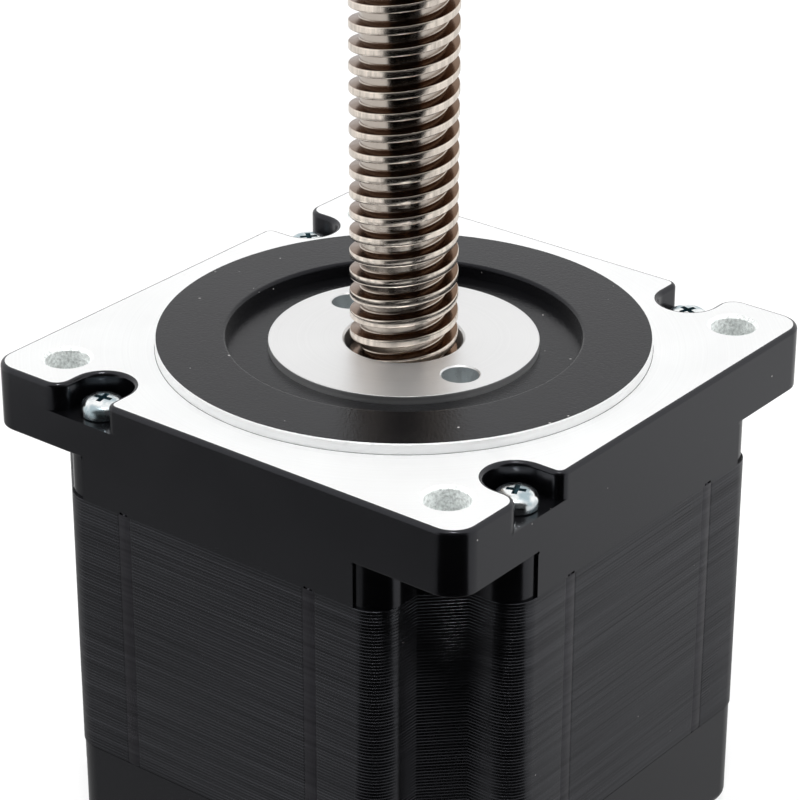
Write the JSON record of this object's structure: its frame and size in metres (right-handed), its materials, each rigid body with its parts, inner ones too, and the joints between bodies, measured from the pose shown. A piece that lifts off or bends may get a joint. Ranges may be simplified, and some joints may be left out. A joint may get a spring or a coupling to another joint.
{
  "type": "non-captive linear stepper motor",
  "caption": "Square linear stepper motor with a lead screw through its hollow rotor, a flange with pilot ring, and corner bolt holes.",
  "frame": {"origin": "centre of the flange's mounting face, on the screw's axis", "axes": "+Z along the screw, out of the mounting face; the body lies below the face, and X and Y are square to its sides"},
  "size_m": [0.0858, 0.0872, 0.1529],
  "materials": {
    "cast_aluminium_black": "satin black coat, machined faces",
    "electrical_steel": "black varnished laminations",
    "zinc_plated_steel": "bright zinc plate",
    "turned_steel": "turned",
    "screw_steel": "rolled thread",
    "bearing_steel": "ground",
    "spring_steel": "tempered",
    "sleeve_steel": "turned",
    "ring_magnet": "nickel plate",
    "nut_bronze": "turned",
    "enamelled_copper": "enamelled wire",
    "moulded_nylon": "moulded",
    "grommet_rubber": "matt"
  },
  "bodies": {
    "housing": {"front_end_bell": "cast_aluminium_black", "rear_end_bell": "cast_aluminium_black", "stator_stack": "electrical_steel", "front_slot_insulator": "moulded_nylon", "rear_slot_insulator": "moulded_nylon", "phase_a_coils": "enamelled_copper", "phase_b_coils": "enamelled_copper", "tie_screws": "zinc_plated_steel", "bearing_retainer": "turned_steel", "front_bearing_outer_race": "bearing_steel", "rear_bearing_outer_race": "bearing_steel", "preload_spring": "spring_steel", "lead_grommet": "grommet_rubber"},
    "rotor": {"rotor_sleeve": "sleeve_steel", "front_rotor_cup": "electrical_steel", "rear_rotor_cup": "electrical_steel", "rotor_magnet": "ring_magnet", "drive_nut": "nut_bronze", "nut_lock_ring": "sleeve_steel", "front_bearing_inner_race": "bearing_steel", "rear_bearing_inner_race": "bearing_steel"},
    "ball_sets": {"front_bearing_balls": "bearing_steel", "rear_bearing_balls": "bearing_steel"},
    "screw": {"lead_screw": "screw_steel"}
  },
  "joints": [
    {"name": "rotor_spin", "type": "hinge", "parent": "housing", "child": "rotor", "pos_m": [0, 0, 0], "axis": [0, 0, 1], "range_deg": [-1020, 3968]},
    {"name": "ball_sets_spin", "type": "hinge", "parent": "housing", "child": "ball_sets", "pos_m": [0, 0, 0], "axis": [0, 0, 1], "range_deg": [-470, 1810]},
    {"name": "screw_slide", "type": "slide", "parent": "housing", "child": "screw", "axis": [0, 0, 1], "range_m": [-0.0701, 0.0181]}
  ],
  "couplings": [
    {"joint": "screw_slide", "follows": "rotor_spin", "m_per_rad": -0.0010106},
    {"joint": "ball_sets_spin", "follows": "rotor_spin", "ratio": 0.4548}
  ]
}
